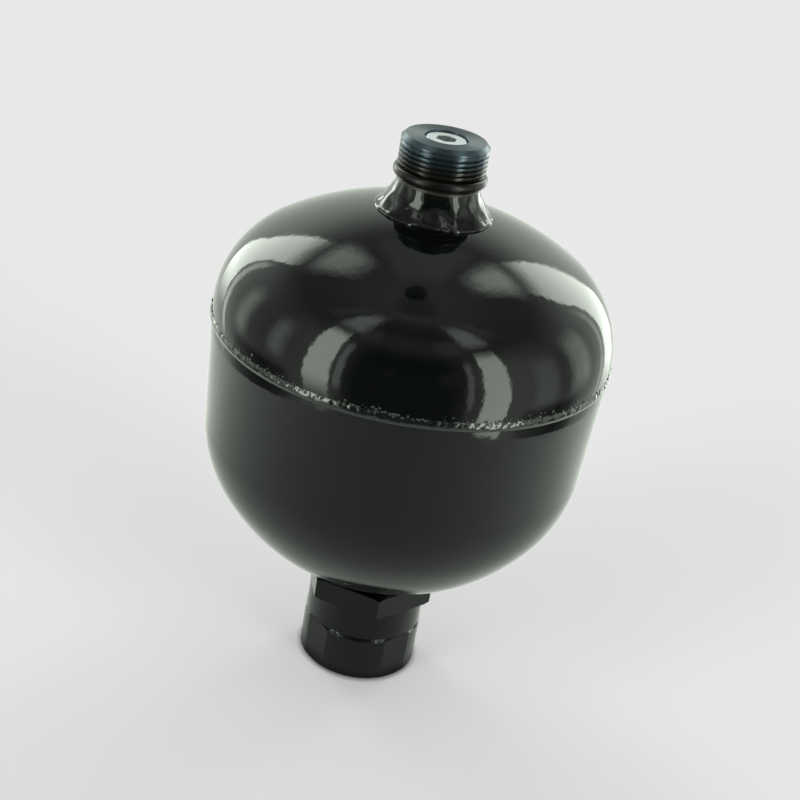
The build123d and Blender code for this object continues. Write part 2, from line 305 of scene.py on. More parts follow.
def rub(material, low, high, flat_azimuth):
    """Lets the steel show through the blackening near an edge between two levels."""
    n = Nodes(material.node_tree)
    into = material.node_tree.nodes["Principled BSDF"].inputs
    rubbed = grouped(n, RUBBED, {
        "Low": low, "High": high, "Flat Azimuth": flat_azimuth, "Reach": 30.0,
        "Dark Colour": into["Base Color"].default_value[:],
        "Bright Colour": (0.26, 0.27, 0.26, 1)})
    n.feed(into["Base Color"], rubbed["Colour"])
    n.feed(into["Metallic"], rubbed["Metallic"])


def blued_steel():
    """Turned and blued, darker and browner toward the seal; its grooves spread the light across
    them.
    """
    blue, brown = (0.072, 0.100, 0.121), (0.040, 0.040, 0.033)
    side, face = 0.25, 0.39
    material, n, into = finish_of("blued steel", blue, side, metallic=0.8)
    # colour darker and browner toward the seal, from the upper threads down
    darker_lower = grouped(n, DARKER_BELOW, {
        "Low Colour": (*brown, 1), "High Colour": (*blue, 1),
        "Low Level": NECK_TOP - 8.5 * MM, "High Level": NECK_TOP - 3.0 * MM,
        "Face Level": NECK_TOP - 1.2 * MM, "Side Roughness": side, "Face Roughness": face})
    n.feed(into["Base Color"], darker_lower["Colour"])
    n.feed(into["Roughness"], darker_lower["Roughness"])
    n.feed(into["Anisotropic"], 0.85)
    n.feed(into["Anisotropic Rotation"], 0.25)
    lathe_marks(n, into, 0.14 * MM, 1.2e-6)
    return material


def ring_rubber():
    low, high = 0.25, 0.34
    material, n, into = finish_of("seal rubber", (0.0062, 0.0056, 0.0048), low, ior=1.38)
    uneven_roughness(n, into, 700.0, low, high)
    return material


DOME_PAINT = gloss_paint("dome gloss black paint", 0.045, swell=30e-6, peel=22e-6, nibs=14e-6)
BOWL_PAINT = gloss_paint("bowl gloss black paint", 0.08, swell=30e-6, peel=22e-6, nibs=10e-6)
WELD_PAINT = gloss_paint("gloss black paint on the weld", 0.10, swell=30e-6, peel=30e-6, nibs=0.0,
                         base=(0.008, 0.010, 0.008), ior=1.78)
THICK_PAINT = gloss_paint("thick neck paint", 0.05, swell=40e-6, peel=2.0e-6, nibs=0.0)
ZINC = steel("zinc plate", (0.65, 0.69, 0.72), (0.28, 0.40), depth=0.6e-6)
WORN = steel("worn steel edge", (0.034, 0.034, 0.029), (0.25, 0.36), metallic=0.0, depth=0.6e-6)
BARE = steel("bare steel", (0.42, 0.42, 0.41), (0.30, 0.42))
BLACKENED = blackened_steel("blackened steel")
BLACKENED_RUBBED = blackened_steel("rubbed blackened steel")
WRENCH_FLAT = 43.3      # azimuth of one flat of the adapter, from the front to the right
rub(BLACKENED_RUBBED, PORT_SEAM - 0.95 * MM, PORT_SEAM + 0.05 * MM, WRENCH_FLAT)
BLUED = blued_steel()
RUBBER = ring_rubber()

CAD_FINISHES = {
    "upper_shell": DOME_PAINT, "lower_shell": BOWL_PAINT, "equator_weld": DOME_PAINT,
    "fluid_port_weld": BOWL_PAINT, "gas_neck_weld": THICK_PAINT, "gas_neck": BLUED,
    "charging_screw": ZINC, "fluid_port": BLACKENED, "port_adapter": BLACKENED_RUBBED,
    "backing_ring": BARE, "clamp_ring": BARE, "bladder_button": BARE,
    "neck_o_ring": RUBBER, "charging_screw_seal": RUBBER, "adapter_seal": RUBBER,
    "bladder": RUBBER,
}
for node, finish in CAD_FINISHES.items():
    for place in bpy.data.objects[node].material_slots:
        place.material = finish


# ---------------------------------------------------------------- turned bodies

def stepped(points, step):
    """The outline with points added so that none lie further apart than step."""
    result = []
    for (r0, z0), (r1, z1) in zip(points, points[1:]):
        count = max(1, math.ceil(math.hypot(r1 - r0, z1 - z0) / step))
        result += [(r0 + (r1 - r0) * i / count, z0 + (z1 - z0) * i / count)
                   for i in range(count)]
    return result + [points[-1]]


def curve_through(points, step):
    """A smooth outline through the points, by a Catmull-Rom spline."""
    def between(a, b, c, d, t):
        return 0.5 * (2 * b + (c - a) * t + (2 * a - 5 * b + 4 * c - d) * t ** 2
                      + (3 * b - a - 3 * c + d) * t ** 3)

    ends = [points[0]] + list(points) + [points[-1]]
    result = []
    for a, b, c, d in zip(ends, ends[1:], ends[2:], ends[3:]):
        count = max(2, math.ceil(math.dist(b, c) / step))
        result += [tuple(between(a[k], b[k], c[k], d[k], i / count) for k in (0, 1))
                   for i in range(count)]
    return result + [points[-1]]


def in_scene(name, mesh):
    piece = bpy.data.objects.new(name, mesh)
    scene.collection.objects.link(piece)
    return piece


def turned(name, outline, around, weights=None):
    """Closed body made by turning an outline of radius and height; weights are point values."""
    outline = np.array(outline)
    rows = len(outline)
    angle = np.arange(around) * 2 * math.pi / around
    r, z = outline[:, 0], outline[:, 1]
    points = np.stack([np.outer(np.cos(angle), r), np.outer(np.sin(angle), r),
                       np.tile(z, (around, 1))], -1)
    column, row = np.meshgrid(np.arange(around), np.arange(rows), indexing="ij")
    following, above = (column + 1) % around, (row + 1) % rows
    faces = np.stack([column * rows + row, following * rows + row,
                      following * rows + above, column * rows + above], -1).reshape(-1, 4)
    area = np.sum(r * np.roll(z, -1) - np.roll(r, -1) * z)
    if area < 0:
        faces = faces[:, ::-1]
    mesh = bpy.data.meshes.new(name)
    mesh.from_pydata(points.reshape(-1, 3).tolist(), [], faces.tolist())
    for weight, values in (weights or {}).items():
        layer = mesh.attributes.new(weight, "FLOAT", "POINT")
        layer.data.foreach_set("value", np.tile(np.array(values, dtype=np.float32), around))
    return in_scene(name, mesh)


def grow(piece, tree, values):
    """Runs a geometry node tree on the piece and keeps the result as its plain mesh."""
    modifier = piece.modifiers.new(tree.name, "NODES")
    modifier.node_group = tree
    for socket in tree.interface.items_tree:
        if socket.in_out == "INPUT" and socket.name in values:
            modifier[socket.identifier] = values[socket.name]
    depsgraph = bpy.context.evaluated_depsgraph_get()
    grown = bpy.data.meshes.new_from_object(piece.evaluated_get(depsgraph))
    piece.modifiers.remove(modifier)
    plain = piece.data
    piece.data = grown
    bpy.data.meshes.remove(plain)
    grown.name = piece.name


def finished(piece, finish, slot, *replaced, sharp=32):
    """Gives the piece its finish and body; the slot is not used; edges over sharp degrees stay
    crisp.
    """
    piece.data.materials.clear()
    piece.data.materials.append(finish)
    piece.data.shade_smooth()
    piece.data.set_sharp_from_angle(angle=math.radians(sharp))
    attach(piece, "root")
    if replaced:
        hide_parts(*replaced)


# ---------------------------------------------------------------- what repeats or follows

def shape_tree(name, inputs):
    n, given, out = node_group(name, "GeometryNodeTree", [("Geometry", "Geometry")] + inputs,
                               [("Geometry", "Geometry")])
    return n, given, out["Geometry"]


def weight_of(n, name):
    return n.add("GeometryNodeInputNamedAttribute", {"Name": name},
                 data_type="FLOAT").outputs["Attribute"]


def position(n):
    return n.add("GeometryNodeInputPosition").outputs[0]


def moved(n, geometry, offset):
    return n.add("GeometryNodeSetPosition", {"Geometry": geometry, "Offset": offset}).outputs[0]


def pulled_in(n, geometry, x, y, depth):
    """The geometry, moved toward the axis by depth."""
    share = n.math("DIVIDE", n.product(depth, -1.0), n.radius(x, y))
    return moved(n, geometry, n.join(n.product(x, share), n.product(y, share), 0.0))


def cut_thread_tree():
    """Sinks a right-hand helical groove into a turned body, as its weight named thread allows."""
    n, given, out = shape_tree("cut_thread", [
        ("Pitch", "Float"), ("Depth", "Float"), ("Groove Height", "Float"),
        ("Root Share", "Float"), ("Crest Share", "Float")])
    x, y, z = n.split(position(n))
    turn = n.math("DIVIDE", n.turn(x, y), 2 * math.pi)
    lead = n.math("DIVIDE", n.math("SUBTRACT", z, given["Groove Height"]), given["Pitch"])
    off = n.math("PINGPONG", n.math("SUBTRACT", lead, turn), 0.5)
    crest = n.product(n.math("SUBTRACT", 1.0, given["Crest Share"]), 0.5)
    root = n.product(given["Root Share"], 0.5)
    sunk = n.math("DIVIDE", n.math("SUBTRACT", crest, off), n.math("SUBTRACT", crest, root),
                  clamp=True)
    depth = n.product(sunk, given["Depth"], weight_of(n, "thread"))
    n.feed(out, pulled_in(n, given["Geometry"], x, y, depth))
    return n.tree


def draw_in_tree():
    """Pulls a surface in as its weight named sink allows, less in front and behind."""
    n, given, out = shape_tree("draw_in", [("Depth", "Float"), ("Front Share", "Float")])
    front_to, side_from = 0.45, 0.64        # of the radius, out to the side
    x, y, z = n.split(position(n))
    sideways = n.math("DIVIDE", n.math("ABSOLUTE", x), n.radius(x, y))
    share = n.step(sideways, front_to, side_from, given["Front Share"], 1.0)
    depth = n.product(share, given["Depth"], weight_of(n, "sink"))
    n.feed(out, pulled_in(n, given["Geometry"], x, y, depth))
    return n.tree


def lumps_tree():
    """Swells a surface in soft lumps of two sizes, as its weight named lumps allows."""
    n, given, out = shape_tree("lumps", [
        ("Size", "Float"), ("Height", "Float"), ("Fine Size", "Float"), ("Fine Height", "Float"),
        ("Seed", "Float")])
    place = position(n)
    waves = []
    for size, height in (("Size", "Height"), ("Fine Size", "Fine Height")):
        noise = n.add("ShaderNodeTexNoise", {
            "Vector": place, "W": given["Seed"], "Scale": n.math("DIVIDE", 1.0, given[size]),
            "Detail": 0.0}, noise_dimensions="4D").outputs[0]
        waves.append(n.product(n.math("SUBTRACT", noise, 0.5), given[height]))
    rise = n.product(n.math("ADD", *waves), weight_of(n, "lumps"))
    normal = n.add("GeometryNodeInputNormal").outputs[0]
    n.feed(out, moved(n, given["Geometry"], n.scaled(normal, rise)))
    return n.tree


def spatter_tree():
    """Drops of weld metal over a band, thicker where its weight named drops is greater."""
    n, given, out = shape_tree("spatter", [
        ("Drops Per Area", "Float"), ("Smallest", "Float"), ("Largest", "Float"),
        ("Flatness", "Float"), ("Seed", "Int"), ("Material", "Material")])
    rarity_of_large = 2.2
    spread = n.add("GeometryNodeDistributePointsOnFaces", {
        "Mesh": given["Geometry"], "Seed": given["Seed"],
        "Density": n.product(given["Drops Per Area"], weight_of(n, "drops")),
    }, distribute_method="RANDOM").outputs
    drop = n.add("GeometryNodeMeshUVSphere", {"Segments": 8, "Rings": 6, "Radius": 1.0})
    chance = n.add("FunctionNodeRandomValue", {"Seed": given["Seed"]}, data_type="FLOAT")
    size = n.add("ShaderNodeMapRange", {
        "Value": n.math("POWER", chance.outputs[1], rarity_of_large),
        "To Min": given["Smallest"], "To Max": given["Largest"]}).outputs["Result"]
    placed = n.add("GeometryNodeInstanceOnPoints", {
        "Points": spread["Points"], "Instance": drop.outputs["Mesh"],
        "Rotation": spread["Rotation"],
        "Scale": n.join(size, size, n.product(size, given["Flatness"]))})
    real = n.add("GeometryNodeRealizeInstances", {"Geometry": placed.outputs[0]}).outputs[0]
    smooth = n.add("GeometryNodeSetShadeSmooth", {"Geometry": real}).outputs[0]
    coated = n.add("GeometryNodeSetMaterial", {"Geometry": smooth, "Material": given["Material"]})
    n.feed(out, coated.outputs[0])
    return n.tree


CUT_THREAD = cut_thread_tree()
DRAW_IN = draw_in_tree()
LUMPS = lumps_tree()
SPATTER = spatter_tree()


def within(value):
    """The value, held between nought and one."""
    return min(1.0, max(0.0, value))


# ---------------------------------------------------------------- the two shells

WALL = 5.0 * MM
SHELL_STEP = 0.7 * MM
SHELL_AROUND = 360
RIM_REACH, RIM_STEP = 5.0 * MM, 0.28 * MM       # finer rows next to the seam
SPIGOT_ROOM = 0.05 * MM
NECK_SPIGOT_R = 10.0 * MM
PORT_SPIGOT_R = 13.0 * MM
RECESS_CUT = 0.6 * MM
UPPER_RECESS, LOWER_RECESS = 6.0 * MM, 20.0 * MM
SINK_REACH, SINK_DEPTH = 4.5 * MM, 0.29 * MM    # the weld has drawn the bowl's rim in
SINK_POWER = 1.5                                # how soon it fades from the rim
RIM_LUMPS_REACH = 1.6 * SINK_REACH


class Head:
    """Torispherical head: skirt, knuckle and crown, as level from the seam against radius."""

    def __init__(self, skirt, draw_in, knuckle, depth):
        self.skirt, self.draw_in, self.knuckle_r = skirt, draw_in, knuckle
        self.lean = math.atan2(draw_in, skirt)
        self.knuckle = (VESSEL_R - draw_in - knuckle * math.cos(self.lean),
                        skirt - knuckle * math.sin(self.lean))
        rest = depth - knuckle
        self.crown = ((rest ** 2 - self.knuckle[0] ** 2 - self.knuckle[1] ** 2)
                      / (2 * (rest - self.knuckle[1])))
        self.crown_r = depth - self.crown
        self.blend = math.atan2(self.knuckle[1] - self.crown, self.knuckle[0])

    def outline(self, edge, hole_r, offset=0.0):
        """From the edge level over the knuckle to the hole, offset into the wall."""
        def arc(centre, radius, start, end):
            count = math.ceil(radius * (end - start) / SHELL_STEP)
            return [(centre[0] + radius * math.cos(a), centre[1] + radius * math.sin(a))
                    for a in np.linspace(start, end, count)]

        crown_r = self.crown_r - offset
        rim = (VESSEL_R - self.draw_in * edge / self.skirt - offset / math.cos(self.lean), edge)
        bends = arc(self.knuckle, self.knuckle_r - offset, self.lean, self.blend)
        crown = arc((0.0, self.crown), crown_r, self.blend, math.acos(hole_r / crown_r))
        fine = [(r, level) for r, level in stepped([rim, bends[0]], RIM_STEP)
                if level < edge + RIM_REACH]
        coarse = [(r, level) for r, level in stepped([rim, bends[0]], SHELL_STEP)
                  if level >= edge + RIM_REACH]
        return fine + coarse + bends[1:] + crown[1:]

    def level(self, radius):
        return self.crown + math.sqrt(self.crown_r ** 2 - radius ** 2)


UPPER = Head(2.0 * MM, 0.0, 31.5 * MM, 43.5 * MM)
LOWER = Head(38.0 * MM, 1.65 * MM, 42.0 * MM, 90.5 * MM)


def shell_outline(head, edge, hole_r, recess):
    """Closed section of a shell; the inside, which nobody sees, has half as many points."""
    inner = head.outline(edge, hole_r, WALL)
    cut = [(r, level) for r, level in inner if level > recess]
    cut = cut[:-1:2] + cut[-1:]
    lip_r = inner[0][0] + RECESS_CUT
    return head.outline(edge, hole_r) + cut[::-1] + [(lip_r, recess), (lip_r, edge)]


def upper_shell():
    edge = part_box("upper_shell")[0][2] - SEAM
    outline = shell_outline(UPPER, edge, NECK_SPIGOT_R + SPIGOT_ROOM, UPPER_RECESS)
    piece = turned("dome", [(r, SEAM + level) for r, level in outline], SHELL_AROUND)
    finished(piece, DOME_PAINT, "black_paint", "upper_shell")


def lower_shell():
    """Bowl; its rim is drawn in by the weld and a little uneven."""
    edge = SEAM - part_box("lower_shell")[1][2]
    hole_r = PORT_SPIGOT_R + SPIGOT_ROOM
    outline = shell_outline(LOWER, edge, hole_r, LOWER_RECESS)
    outside = len(LOWER.outline(edge, hole_r))
    sink, lumps = [0.0] * len(outline), [0.0] * len(outline)
    for i, (r, level) in enumerate(outline[:outside]):
        sink[i] = max(0.0, 1 - (level - edge) / SINK_REACH) ** SINK_POWER
        lumps[i] = max(0.0, 1 - (level - edge) / RIM_LUMPS_REACH)
    piece = turned("bowl", [(r, SEAM - level) for r, level in outline], SHELL_AROUND,
                   {"sink": sink, "lumps": lumps})
    grow(piece, DRAW_IN, {"Depth": SINK_DEPTH, "Front Share": 0.3})
    grow(piece, LUMPS, {"Size": 8.0 * MM, "Height": 0.17 * MM, "Fine Size": 3.0 * MM,
                        "Fine Height": 0.03 * MM, "Seed": 5.0})
    finished(piece, BOWL_PAINT, "black_paint", "lower_shell")


# ---------------------------------------------------------------- seam

BEAD_LOW, BEAD_HIGH = SEAM - 1.85 * MM, SEAM + 1.5 * MM
BEAD_PROUD = 0.60 * MM
BEAD_BED = 0.05 * MM        # its edges start this far under the paint
BEAD_TUCK = 0.32 * MM       # and its lower edge further in, on the drawn-in rim
BEAD_ROOT = 1.0 * MM
BEAD_ROWS, BEAD_AROUND = 22, 1440
BEAD_PEAK, BEAD_FULLNESS = 0.80, 0.9        # powers that set the ridge's place and breadth
CALM_TO, CALM_BLEND, CALM_LUMPS = 0.38, 0.3, 0.10   # smoother lower part of the bead
LUMPS_GAIN = 3              # how soon its lumps grow, from the edges


def seam_bead():
    """Weld bead round the middle: a low uneven ridge with a crisp lower edge."""
    outline, weight = [], []
    for row in range(BEAD_ROWS + 1):
        t = row / BEAD_ROWS
        ridge = math.sin(math.pi * t ** BEAD_PEAK) ** BEAD_FULLNESS
        r = VESSEL_R - BEAD_TUCK * (1 - t) ** 2 - BEAD_BED + BEAD_PROUD * ridge
        outline.append((r, BEAD_LOW + (BEAD_HIGH - BEAD_LOW) * t))
        rough = min(1.0, max(CALM_LUMPS, (t - CALM_TO) / CALM_BLEND))
        weight.append(rough * min(1.0, LUMPS_GAIN * ridge))
    for z in (BEAD_HIGH, BEAD_LOW):
        outline.append((VESSEL_R - BEAD_ROOT, z))
        weight.append(0.0)
    piece = turned("seam_bead", outline, BEAD_AROUND, {"lumps": weight})
    grow(piece, LUMPS, {"Size": 1.9 * MM, "Height": 0.50 * MM, "Fine Size": 0.8 * MM,
                        "Fine Height": 0.20 * MM, "Seed": 3.0})
    finished(piece, WELD_PAINT, "black_paint", "equator_weld", sharp=60)


SPATTER_LOW, SPATTER_RISE = SEAM + 0.1 * MM, 3.4 * MM
SPATTER_ROWS, SPATTER_AROUND = 12, 720
SPATTER_DENSE = 0.55        # share of the band's height that is fully covered
SPATTER_POWER = 1.5         # how soon it thins out above that
SPATTER_OUT, SPATTER_IN = 0.02 * MM, 0.5 * MM       # its band, from the shell's surface


def seam_spatter():
    """Drops along the upper side of the bead, under the paint."""
    shares = [row / SPATTER_ROWS for row in range(SPATTER_ROWS + 1)]
    front = [(VESSEL_R + SPATTER_OUT, SPATTER_LOW + SPATTER_RISE * t) for t in shares]
    back = [(VESSEL_R - SPATTER_IN, z) for r, z in front[::-1]]
    thick = [1.0 if t < SPATTER_DENSE else (1 - t) ** SPATTER_POWER for t in shares]
    band = turned("seam_spatter", front + back, SPATTER_AROUND,
                  {"drops": thick + [0.0] * len(back)})
    grow(band, SPATTER, {"Drops Per Area": 1.35e6, "Smallest": 0.14 * MM, "Largest": 0.62 * MM,
                         "Flatness": 0.55, "Seed": 11, "Material": WELD_PAINT})
    finished(band, WELD_PAINT, "black_paint", sharp=180)


# ---------------------------------------------------------------- gas neck
# Depths are measured down from the neck's end face.

NECK_R = 14.0 * MM
NECK_AROUND = 300
NECK_CHAMFER = 1.25 * MM
NECK_PITCH = 1.5 * MM
NECK_THREAD_DEPTH = 0.92 * MM
NECK_GROOVE_DEPTH = 3.45 * MM       # of the thread's groove, in front
NECK_RUN_IN, NECK_FULL = 1.9 * MM, 2.9 * MM     # thread's first and first full depth
FLANK_ROWS = 20                     # in one pitch
THREAD_END = 9.7 * MM
THREAD_END_SLOPE = 0.25 * MM
RING_GROOVE_END = 13.7 * MM
RING_GROOVE_R = 11.7 * MM
NECK_END_LAP = 0.3 * MM             # into the painted foot
HEAD_ROOM_R, HEAD_ROOM_EDGE = 6.95 * MM, 0.12 * MM
HEAD_SEAT = 8.45 * MM
BORE_R = 3.65 * MM
# radius and depth, in millimetres
WORN_RIM = [(12.3, 13.55), (12.7, 13.55), (12.98, 13.65), (13.2, 13.85), (13.34, 14.1),
            (13.4, 14.4), (13.38, 14.7), (12.3, 14.7)]
SKIRT = [(13.26, 14.4), (13.34, 14.75), (13.55, 15.5), (14.2, 17.3), (15.2, 19.3), (16.75, 21.4),
         (17.9, 22.7), (18.55, 23.3), (18.9, 23.75), (18.95, 24.15)]


def down(depth):
    return NECK_TOP - depth


def on_neck(points):
    return [(r * MM, down(depth * MM)) for r, depth in points]


def thread_end():
    """Steel end of the neck: face, chamfer, thread and the seal's groove."""
    face = [(HEAD_ROOM_R, down(HEAD_ROOM_EDGE)), (HEAD_ROOM_R + HEAD_ROOM_EDGE, down(0)),
            (NECK_R - NECK_CHAMFER, down(0))]
    flank = stepped([(NECK_R, down(NECK_CHAMFER)), (NECK_R, down(THREAD_END))],
                    NECK_PITCH / FLANK_ROWS)
    foot = down(RING_GROOVE_END + NECK_END_LAP)
    groove = [(RING_GROOVE_R, down(THREAD_END + THREAD_END_SLOPE)), (RING_GROOVE_R, foot)]
    inside = [(BORE_R, foot), (BORE_R, down(HEAD_SEAT)), (HEAD_ROOM_R, down(HEAD_SEAT))]
    outline = face + flank + groove + inside
    weight = [within((NECK_TOP - z - NECK_RUN_IN) / (NECK_FULL - NECK_RUN_IN))
              if r == NECK_R else 0.0 for r, z in outline]
    piece = turned("gas_neck_end", outline, NECK_AROUND, {"thread": weight})
    grow(piece, CUT_THREAD, {
        "Pitch": NECK_PITCH, "Depth": NECK_THREAD_DEPTH,
        "Groove Height": down(NECK_GROOVE_DEPTH), "Root Share": 0.16, "Crest Share": 0.30})
    finished(piece, BLUED, "blued_steel", "gas_neck", sharp=28)


def worn_edge():
    """Bare rim below the seal's groove, where the paint has rubbed off."""
    piece = turned("gas_neck_rim", on_neck(WORN_RIM), NECK_AROUND)
    finished(piece, WORN, "blued_steel", sharp=50)


SKIRT_STEP, SKIRT_AROUND = 0.22 * MM, 420
SKIRT_TOE = 0.15 * MM               # the lip tucks in this far, into the dome's paint
SKIRT_BED, SKIRT_BED_WIDTH, SKIRT_BED_ROWS = 0.3 * MM, 1.2 * MM, 12
SKIRT_LAP = 0.2 * MM                # under the steel end
SKIRT_EVEN, SKIRT_BLEND = 0.8 * MM, 3.0 * MM    # even at the top, then ever more lumpy


def neck_skirt():
    """Flared foot of the neck, lumpy under thick paint, with its weld to the dome."""
    outer = curve_through(on_neck(SKIRT), SKIRT_STEP)
    top, lip_r = outer[0][1], outer[-1][0]
    toe = [(lip_r - SKIRT_TOE, SEAM + UPPER.level(lip_r) - SKIRT_TOE)]
    under = [(r, SEAM + UPPER.level(r) - SKIRT_BED)
             for r in np.linspace(lip_r - SKIRT_BED_WIDTH, NECK_SPIGOT_R, SKIRT_BED_ROWS)]
    inside = [(NECK_SPIGOT_R, NECK_BOTTOM), (BORE_R, NECK_BOTTOM), (BORE_R, top),
              (RING_GROOVE_R - SKIRT_LAP, top)]
    weight = [within((top - SKIRT_EVEN - z) / SKIRT_BLEND) for r, z in outer]
    weight += [1.0] + [0.0] * len(under + inside)
    piece = turned("gas_neck_skirt", outer + toe + under + inside, SKIRT_AROUND,
                   {"lumps": weight})
    grow(piece, LUMPS, {"Size": 5.2 * MM, "Height": 1.05 * MM, "Fine Size": 2.3 * MM,
                        "Fine Height": 0.18 * MM, "Seed": 7.3})
    finished(piece, THICK_PAINT, "black_paint", "gas_neck_weld", sharp=50)


# azimuth, distance out, depth, lean of the normal, half width, half length and thickness;
# angles in degrees, lengths in millimetres
DRIPS = [
    (6, 18.75, 23.45, 38, 0.75, 0.55, 0.40), (-12, 20.1, 25.1, 76, 0.95, 0.60, 0.28),
    (-62, 21.6, 25.45, 75, 0.70, 0.85, 0.40), (34, 19.6, 24.85, 72, 0.55, 0.40, 0.22),
]


def paint_drips():
    """Drops that the thick paint left round the foot of the neck."""
    shape = bmesh.new()
    for azimuth, r, depth, lean, width, length, thick in DRIPS:
        across, out = towards(azimuth + 90, 0), towards(azimuth, lean)
        axes = Matrix((across * width, out.cross(across) * length, out * thick)).transposed()
        place = towards(azimuth, 0) * (r * MM) + Vector((0, 0, down(depth * MM)))
        bmesh.ops.create_icosphere(shape, subdivisions=4, radius=MM,
                                   matrix=Matrix.Translation(place) @ axes.to_4x4())
    mesh = bpy.data.meshes.new("paint_drips")
    shape.to_mesh(mesh)
    shape.free()
    finished(in_scene("paint_drips", mesh), THICK_PAINT, "black_paint", sharp=180)


upper_shell()
lower_shell()
seam_bead()
seam_spatter()
thread_end()
worn_edge()
neck_skirt()
paint_drips()


# ---------------------------------------------------------------- floor

FLOOR_HALF = 4.0
PAINTED_REFLECTION_R = 0.31
PAINTED_REFLECTION_WIDTH = 0.85     # of its length
LIGHT_TINT = (0.965, 1.045, 0.945)
BACKGROUND = (0.823, 0.839, 0.831)
FLOOR_GREY = (0.745, 0.675, 0.755, 1)
FLOOR_GLOW = 0.32
# the floor's glow fades out toward the foot: a painted contact shadow
FOOT_SHADOW_GLOW_FROM_R, FOOT_SHADOW_GLOW_FULL_R = 20.2 * MM, 22.8 * MM     # none under the foot


def stage_material(name):
    material = bpy.data.materials.new(name)
    material.use_nodes = True
    material.node_tree.nodes.clear()
    n = Nodes(material.node_tree)
    return material, n, n.add("ShaderNodeOutputMaterial").inputs["Surface"]


def pale_floor():
    """Matt floor with a little light of its own, which keeps the vessel's shadow soft; the light
    is left out round the foot, as a painted contact shadow.
    """
    material, n, surface = stage_material("pale floor")
    x, y, z = n.split(n.place())
    # painted contact shadow: no glow under the foot, full glow a little way out
    glow_with_foot_shadow = n.step(n.radius(x, y), FOOT_SHADOW_GLOW_FROM_R, FOOT_SHADOW_GLOW_FULL_R, 0.0, FLOOR_GLOW)
    matt = n.add("ShaderNodeBsdfDiffuse", {"Color": FLOOR_GREY}).outputs[0]
    glow = n.add("ShaderNodeEmission", {"Color": (*BACKGROUND, 1), "Strength": glow_with_foot_shadow})
    n.feed(surface, n.add("ShaderNodeAddShader", {0: matt, 1: glow.outputs[0]}).outputs[0])
    return material


def floor_in_gloss():
    """Painted reflection of the floor, for the gloss alone: painted shade, brighter away from the
    vessel and toward the back, darkest round the foot as a painted contact shadow.
    """
    material, n, surface = stage_material("floor seen in the gloss")
    base, brightest = 0.50, 1.15
    spread_gain, spread_r = 0.68, 0.07
    sideways_share, aft_share = 0.48, 0.64
    far_gain, far_from_r, far_full_r = 0.20, 0.16, 0.30
    foot_shadow_level, foot_shadow_from_r, foot_shadow_to_r = 0.3, 0.0195, 0.027
    x, y, z = n.split(n.place())
    r = n.radius(x, y)
    # painted shade: darker near the vessel and in front, brighter far off and toward the back
    aft = n.math("DIVIDE", y, n.math("MAXIMUM", r, MM))
    share = n.math("MULTIPLY_ADD", aft, aft_share, sideways_share)
    spread = n.math("SUBTRACT", 1.0, n.math("POWER", math.e, n.math("DIVIDE", r, -spread_r)))
    far = n.product(n.step(r, far_from_r, far_full_r, 0.0, far_gain), n.math("ADD", aft, 1.0))
    level = n.math("MULTIPLY_ADD", spread, n.product(share, spread_gain), base)
    level = n.math("MINIMUM", n.math("ADD", level, far), brightest)
    # painted contact shadow: darker round the foot
    level = n.product(level, n.step(r, foot_shadow_from_r, foot_shadow_to_r, foot_shadow_level, 1.0))
    light = n.add("ShaderNodeEmission", {"Color": n.scaled(LIGHT_TINT, level)})
    n.feed(surface, light.outputs[0])
    return material


def studio_floor():
    """Wide floor for the eye and the light, and a disc that alone shows in the gloss, as a painted
    reflection of the floor.

    Past the disc's edge the tall lights reach below the horizon in the paint."""
    bpy.ops.mesh.primitive_plane_add(size=2 * FLOOR_HALF)
    wide = bpy.context.object
    wide.name = "floor"
    wide.visible_glossy = False
    wide.data.materials.append(pale_floor())
    bpy.ops.mesh.primitive_circle_add(vertices=96, radius=PAINTED_REFLECTION_R, fill_type="NGON")
    near = bpy.context.object
    near.name = "floor_in_gloss"
    near.data.transform(Matrix.Diagonal((PAINTED_REFLECTION_WIDTH, 1, 1, 1)))
    for ray in ("camera", "diffuse", "shadow", "transmission", "volume_scatter"):
        setattr(near, "visible_" + ray, False)
    near.data.materials.append(floor_in_gloss())


# ---------------------------------------------------------------- light
# By direction: azimuth from the front to the right, and elevation, in degrees.

# azimuth and level of the walls, all the way round
WALLS = [
    (-180, 1.0), (-165, 1.0), (-150, 1.1), (-125, 1.0), (-112, 0.75), (-95, 0.45), (-85, 0.38),
    (-66, 0.48), (-56, 0.55), (-38, 0.55), (-31, 0.16), (-26, 0.045), (0, 0.035), (27, 0.045),
    (33, 0.14), (39, 0.42), (58, 0.70), (68, 0.72), (85, 0.48), (96, 0.38), (106, 0.50),
    (122, 0.80), (131, 1.0), (156, 1.2), (168, 1.05), (180, 1.0)]
WALL_TOP, CEILING_FROM = 22.0, 50.0
WALL_FOOT, BELOW_FROM = -30.0, -42.0
CEILING_LOW, CEILING_HIGH = 54.0, 80.0
CEILING_LOW_LEVEL, CEILING_HIGH_LEVEL, BELOW_LEVEL = 0.20, 0.33, 0.45
DARKEST = 0.02

